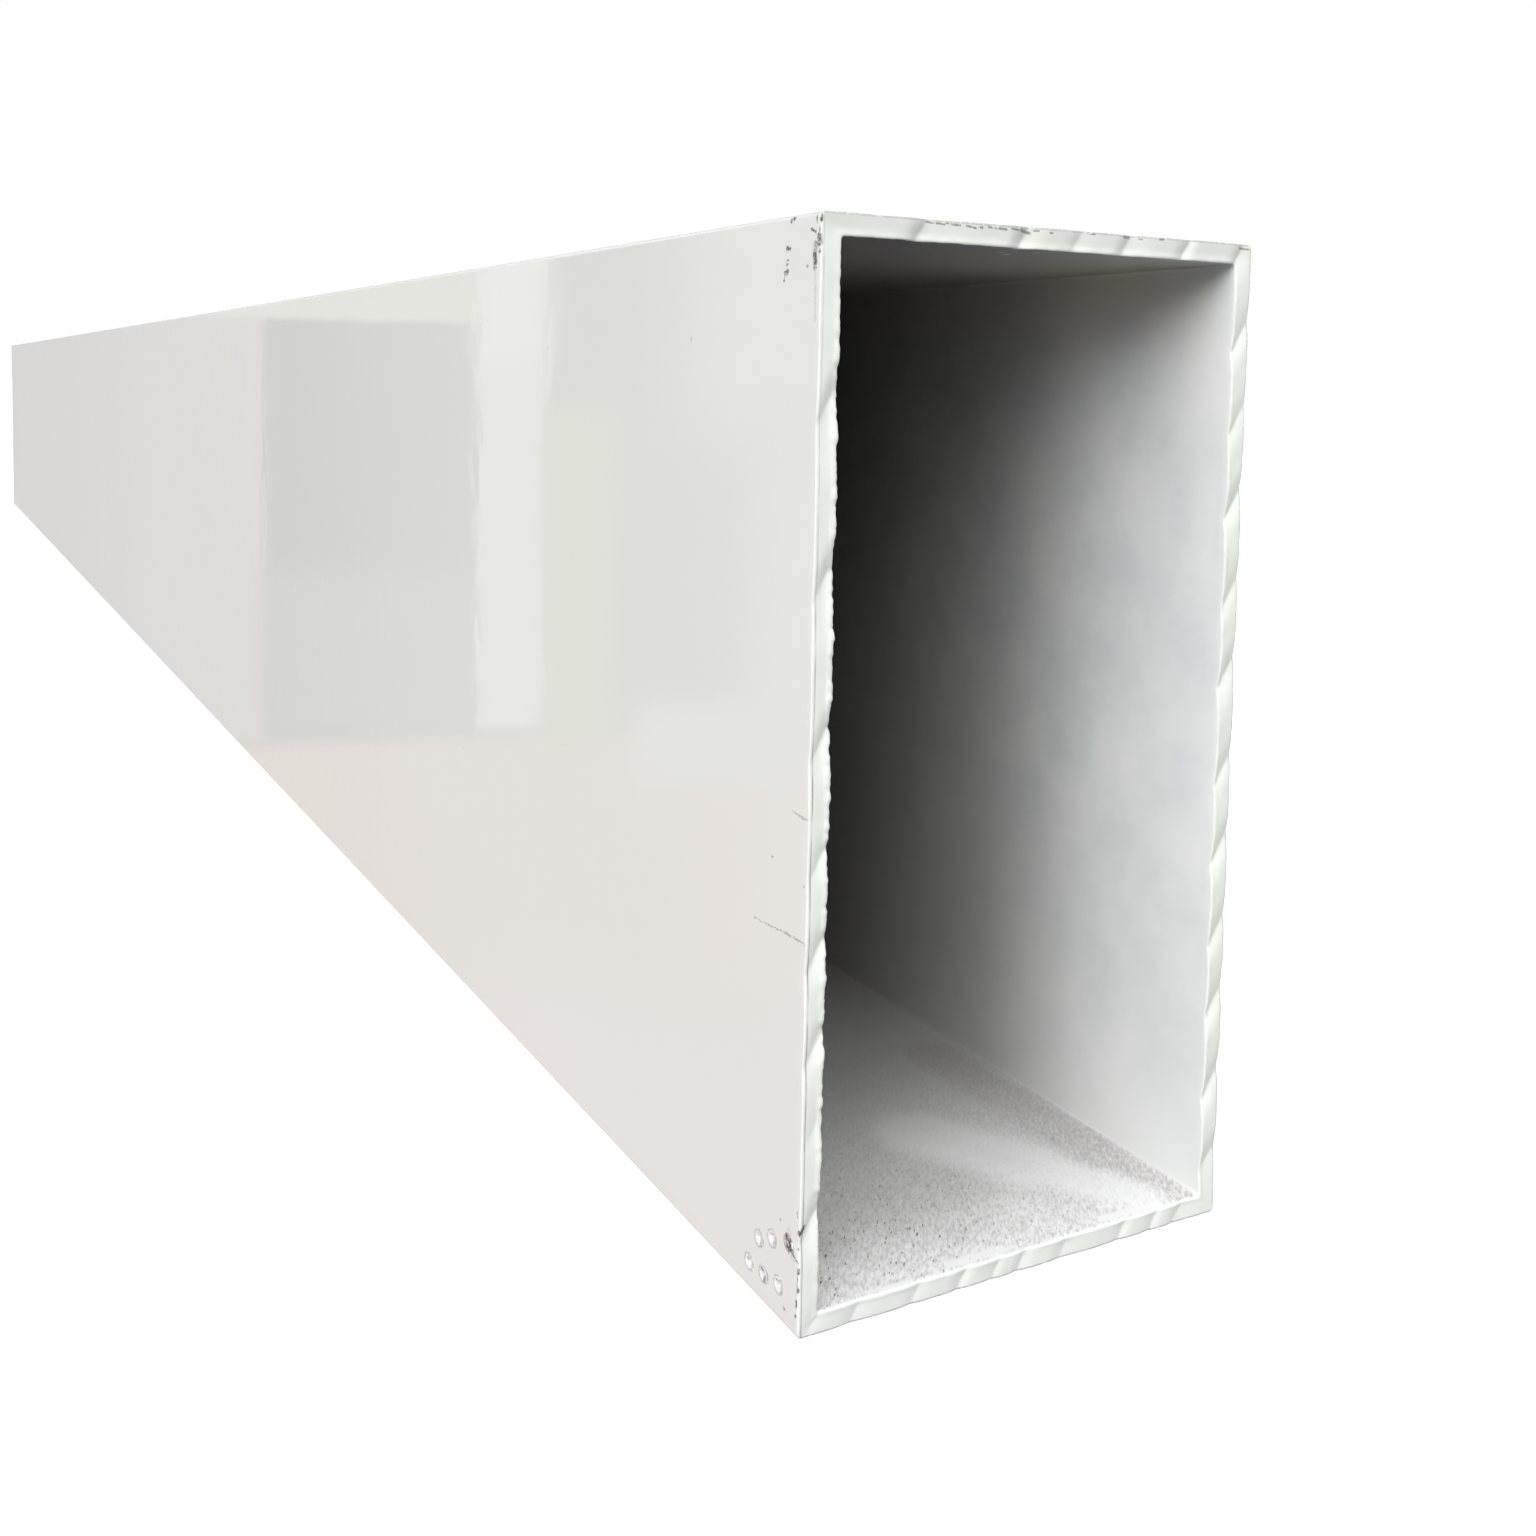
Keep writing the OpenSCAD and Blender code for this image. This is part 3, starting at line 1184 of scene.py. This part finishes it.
        self.displace(tube, "bead_groove", groove, -self.groove_depth, "NORMAL")
        self.displace(tube, "coat_sway", sway, self.sway_height, "NORMAL", self.sway_grain)
        self.displace(
            tube, "inner_burr", burr, self.burr_height, "NORMAL", self.burr_grain, self.burr_still
        )
        for end, cut in cuts.items():
            reach = cut.deepest * MM

            def share(place: Vector) -> float:
                """How much of the deepest step a place takes."""
                if end.value * (place.y - self.centre.y) < 0 or self.depth(place) > 4 * MM:
                    return 0.0
                return self.fade(place) * cut.depth(place.x, place.z) / reach

            self.displace(tube, f"saw_steps_{end.name.lower()}", share, -end.value * reach, "Y")

    def dent(self, tube: bpy.types.Object) -> None:
        """Presses the dents into the left face and raises their rims.

        Args:
            tube: the piece, in object mode.
        """
        front = self.end_y(TubeEnd.FRONT)
        tallest = 0.3

        def lift(place: Vector) -> float:
            """How far the face stands out at a place, as a share of the tallest move."""
            if place.x - self.low.x > 0.2 * MM or place.y - front > 1.2 * self.dent_field:
                return 0.0
            inward, up = (place.y - front) / MM, (place.z - self.low.z) / MM
            return sum(one.lift(inward, up) for one in DENTS) / tallest

        self.displace(tube, "dent_rims", lambda p: max(0.0, lift(p)), -tallest * MM, "X")
        self.displace(tube, "dent_bowls", lambda p: max(0.0, -lift(p)), tallest * MM, "X")

    def finish(self, tube: bpy.types.Object, coat: PowderCoat, cut: CoatedCut, bore: MillBore) -> None:
        """Gives each surface its material and smooths the shading.

        Args:
            tube: the piece, in object mode.
            coat: the finish outside.
            cut: the finish of the sawn ends.
            bore: the finish inside.
        """
        for finish in (coat, cut, bore):
            tube.data.materials.append(finish.material())
        half_wall = self.wall / 2
        for face in tube.data.polygons:
            middle = face.center
            if self.depth(middle) < self.cut_reach and abs(face.normal.y) > 0.3:
                face.material_index = Surface.CUT.value
            elif self.inset(middle) > half_wall:
                face.material_index = Surface.BORE.value
        bpy.ops.object.shade_smooth()
        weighted = tube.modifiers.new("flat_faces", "WEIGHTED_NORMAL")
        bpy.ops.object.modifier_apply(modifier=weighted.name)


@dataclass(frozen=True)
class Panel:
    """A soft-edged panel of the surround, in degrees left of straight ahead and up."""

    right: float
    left: float
    low: float
    high: float
    soft: float
    colour: str
    gain: float = 1.0


# Softboxes, flags and fills that light the tube
SOFTBOXES = (
    Panel(90, 146, 11, 37, 6, "FFFFFF", 4.85),
    Panel(146, 200, 24, 58, 12, "FFFFFF", 2.6),
    Panel(-110, 76, 14, 120, 10, "3F3F3F"),
    Panel(76, 146, 38, 58, 6, "FFFFFF", 3.1),
    Panel(-220, 220, 60, 120, 10, "5A5A5A"),
    Panel(-95, -2, -25, 14, 10, "FFFFFF", 2.4),
    Panel(-165, -95, 2, 22, 8, "FFFFFF", 0.9),
)
# Panels that show only in the gloss of the coat
GLOSS = (
    Panel(26, 75, -2, 40, 5, "FFFFFF"),
    Panel(28.5, 75, -12.5, -2, 4, "FFFFFF"),
    Panel(-40, 75, -90, -12.5, 0.8, "E3CFCA"),
    Panel(26, 75, -90, -13, 3, "FBD0CC"),
    Panel(29.5, 75, -90, -13, 4, "FFE4EA", 1.15),
    Panel(-40, 75, -90, -21, 6, "F5DBE3"),
    Panel(-40, 10.7, -12.4, 30, 0.3, "D4D2D3"),
    Panel(10.6, 11.4, -12.4, 3, 0.3, "DACFD6"),
    Panel(11.4, 18.3, -12.4, 1.9, 0.3, "A3A5A2"),
    Panel(11.4, 18.3, -12.4, -6.8, 1.6, "B8B9B6"),
    Panel(9, 18.3, 1.9, 30, 0.3, "E8E8E2"),
    Panel(18.55, 20.95, -12.3, 30, 0.45, "F8F8F6"),
    Panel(18.55, 20.95, 0.6, 30, 1.5, "FFFFFF", 1.12),
    Panel(20.95, 23.5, -13, -1, 0.3, "CBD0B8"),
    Panel(24.3, 40, -14.3, -11.3, 1.5, "F0F0F0"),
)


@dataclass(frozen=True)
class Studio:
    """A plain pale floor, a soft surround, a soft fill light and a white backdrop.

    The surround has wide softboxes on the left and in front, low fills on the right, and dark flags above
    and behind that keep the top of the tube from going as white as the floor.
    """

    floor_side: float = 40.0
    floor_colour: str = "FAFAFA"
    floor_glow: float = 0.45
    backdrop: str = "FFFFFF"
    sky_front: float = 1.5
    sky_back: float = 0.4
    ground_front: float = 0.08
    ground_back: float = 0.4
    fill_strength: float = 0.3
    fill_width_deg: float = 60.0
    fill_height_deg: float = 40.0
    fill_heading_deg: float = 10.0

    def build(self) -> None:
        """Makes the floor, the surround and the light."""
        self.lay_floor()
        self.surround_it()
        self.light_it()

    def lay_floor(self) -> None:
        """Lays a wide matt floor under the tube, lit from within a little so that no shadow greys it."""
        bpy.ops.object.select_all(action="DESELECT")
        bpy.ops.mesh.primitive_plane_add(size=self.floor_side)
        floor = bpy.context.active_object
        floor.name = "studio_floor"
        floor.visible_diffuse = floor.visible_glossy = False
        material, tree = new_material("pale_floor_paint")
        colour = to_linear(self.floor_colour)
        paint = add_node(tree, "ShaderNodeBsdfDiffuse", {"Color": colour})
        glow = add_node(tree, "ShaderNodeEmission", {"Color": colour, "Strength": self.floor_glow})
        shader = add_node(tree, "ShaderNodeAddShader", {0: paint, 1: glow})
        add_node(tree, "ShaderNodeOutputMaterial", {"Surface": shader})
        floor.data.materials.append(material)

    def surround_it(self) -> None:
        """Sets a surround with its softboxes, flags and fills, and a white backdrop behind the tube."""
        world = bpy.data.worlds.new("studio_surround")
        bpy.context.scene.world = world
        world.use_nodes = True
        tree = world.node_tree
        tree.nodes.clear()
        rays = add_node(tree, "ShaderNodeLightPath").outputs
        way = add_node(tree, "ShaderNodeTexCoord").outputs["Generated"]
        axes = add_node(tree, "ShaderNodeSeparateXYZ", {"Vector": way}).outputs
        ahead = add_node(
            tree, "ShaderNodeMapRange", {"Value": axes["Y"], "From Min": 0.6, "From Max": -0.7},
            interpolation_type="SMOOTHSTEP",
        )
        above = add_node(
            tree, "ShaderNodeMapRange", {"Value": axes["Z"], "From Min": 0.0, "From Max": 0.5},
            interpolation_type="SMOOTHSTEP",
        )
        ground = add_node(
            tree, "ShaderNodeMix", {"Factor": ahead, "A": self.ground_back, "B": self.ground_front}
        )
        sky = add_node(tree, "ShaderNodeMix", {"Factor": ahead, "A": self.sky_back, "B": self.sky_front})
        dome = add_node(tree, "ShaderNodeMix", {"Factor": above, "A": ground, "B": sky})
        colour = add_node(tree, "ShaderNodeCombineColor", {"Red": dome, "Green": dome, "Blue": dome})
        aside = add_node(tree, "ShaderNodeMath", {0: axes["X"], 1: -1.0}, operation="MULTIPLY")
        turn = add_node(tree, "ShaderNodeMath", {0: aside, 1: axes["Y"]}, operation="ARCTAN2")
        rise = add_node(tree, "ShaderNodeMath", {0: axes["Z"]}, operation="ARCSINE")
        for panel in (*SOFTBOXES, *GLOSS):
            share: object = 1.0 if panel in SOFTBOXES else rays["Is Glossy Ray"]
            for angle, edge, side in (
                (turn, panel.right, 1), (turn, panel.left, -1), (rise, panel.low, 1), (rise, panel.high, -1)
            ):
                start, stop = (math.radians(edge + side * s * panel.soft / 2) for s in (-1, 1))
                inside = add_node(
                    tree, "ShaderNodeMapRange", {"Value": angle, "From Min": start, "From Max": stop},
                    interpolation_type="SMOOTHSTEP",
                )
                share = add_node(tree, "ShaderNodeMath", {0: share, 1: inside}, operation="MULTIPLY")
            shade = [level * panel.gain for level in to_linear(panel.colour)]
            colour = add_node(
                tree, "ShaderNodeMix",
                {"Factor": share, "A": colour, "B": shade}, data_type="RGBA",
            )
        seen = add_node(
            tree, "ShaderNodeMix",
            {"Factor": rays["Is Camera Ray"], "A": colour, "B": to_linear(self.backdrop)}, data_type="RGBA",
        )
        glow = add_node(tree, "ShaderNodeBackground", {"Color": seen})
        add_node(tree, "ShaderNodeOutputWorld", {"Surface": glow})

    def light_it(self) -> None:
        """Adds the wide soft fill from above and in front."""
        bpy.ops.object.light_add(type="SUN")
        lamp = bpy.context.active_object
        lamp.name = "soft_fill_light"
        lamp.data.energy = self.fill_strength
        lamp.data.angle = math.radians(self.fill_width_deg)
        tilt, turn = math.radians(90 - self.fill_height_deg), math.radians(self.fill_heading_deg)
        lamp.rotation_euler = (tilt, 0.0, -turn)


@dataclass(frozen=True)
class PhotoCamera:
    """The camera, as the corners of the tube in the photograph place it."""

    place: tuple[float, float, float] = (-94.9 * MM, -618.35 * MM, 85.2 * MM)
    heading_deg: float = 28.86
    pitch_deg: float = -4.04
    roll_deg: float = 1.12
    focal_px: float = 1601.8
    principal_y_px: float = 497.0
    sensor_mm: float = 36.0

    def build(self) -> bpy.types.Object:
        """Makes the camera.

        Returns:
            The camera object, set as the scene's own.
        """
        bpy.ops.object.camera_add()
        camera = bpy.context.active_object
        camera.name = "photo_camera"
        camera.data.sensor_width = self.sensor_mm
        camera.data.lens = self.focal_px / PHOTO_SIDE * self.sensor_mm
        camera.data.shift_y = (self.principal_y_px - PHOTO_SIDE / 2) / PHOTO_SIDE
        camera.data.clip_start = 5 * MM
        turn = Matrix.Rotation(-math.radians(self.heading_deg), 4, "Z")
        tilt = Matrix.Rotation(math.radians(90 + self.pitch_deg), 4, "X")
        roll = Matrix.Rotation(math.radians(self.roll_deg), 4, "Z")
        camera.matrix_world = Matrix.Translation(self.place) @ turn @ tilt @ roll
        bpy.context.scene.camera = camera
        return camera


# Strokes of the saw, from the upper left of the cut to the lower right
STROKES = (
    Stroke(-75.0, -75.0, 0.4, 0.4),
    Stroke(-63.0, -62.8, 0.55, 0.5),
    Stroke(-55.2, -53.1, 0.55, 0.5),
    Stroke(-47.9, -47.8, 0.5, 0.24),
    Stroke(-42.5, -42.6, 0.3, 0.4),
    Stroke(-38.3, -36.1, 0.5, 0.36),
    Stroke(-34.0, -33.2, 0.45, 0.0),
    Stroke(-30.2, -30.0, 0.14, 0.3),
    Stroke(-25.8, -25.4, 0.55, 0.34),
    Stroke(-20.8, -21.2, 0.15, 0.26),
    Stroke(-16.8, -16.9, 0.22, 0.44),
    Stroke(-11.1, -12.3, 0.2, 0.28),
    Stroke(-6.5, -8.2, 0.26, 0.44),
    Stroke(-3.1, -3.1, 0.16, 0.32),
    Stroke(-0.5, 1.0, 0.22, 0.42),
    Stroke(4.0, 5.4, 0.2, 0.32),
    Stroke(10.4, 9.2, 0.24, 0.34),
    Stroke(14.0, 13.6, 0.2, 0.42),
    Stroke(16.6, 18.0, 0.2, 0.38),
    Stroke(25.0, 25.0, 0.3, 0.3),
)
CUTS = {TubeEnd.FRONT: SawCut(STROKES), TubeEnd.BACK: SawCut(STROKES, shift=2.2)}


def main() -> None:
    """Builds the tube and its studio."""
    logging.basicConfig(level=logging.INFO)
    low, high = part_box("tube")
    stock = SawnTube(low, high)
    tube = stock.build()
    stock.saw(tube, CUTS)
    stock.dent(tube)
    front = stock.end_y(TubeEnd.FRONT)
    stock.finish(
        tube,
        PowderCoat(front),
        CoatedCut(front, low.x + stock.groove_inset, high.z - stock.wall),
        MillBore(front, stock.size.y / 2, low.z + stock.wall, high.z - stock.wall),
    )
    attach(tube, "root")
    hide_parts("tube")
    LOG.info("%s has %d faces", tube.name, len(tube.data.polygons))
    Studio().build()
    PhotoCamera().build()
    bpy.context.scene.view_settings.view_transform = "Standard"


if __name__ == "__main__":
    main()
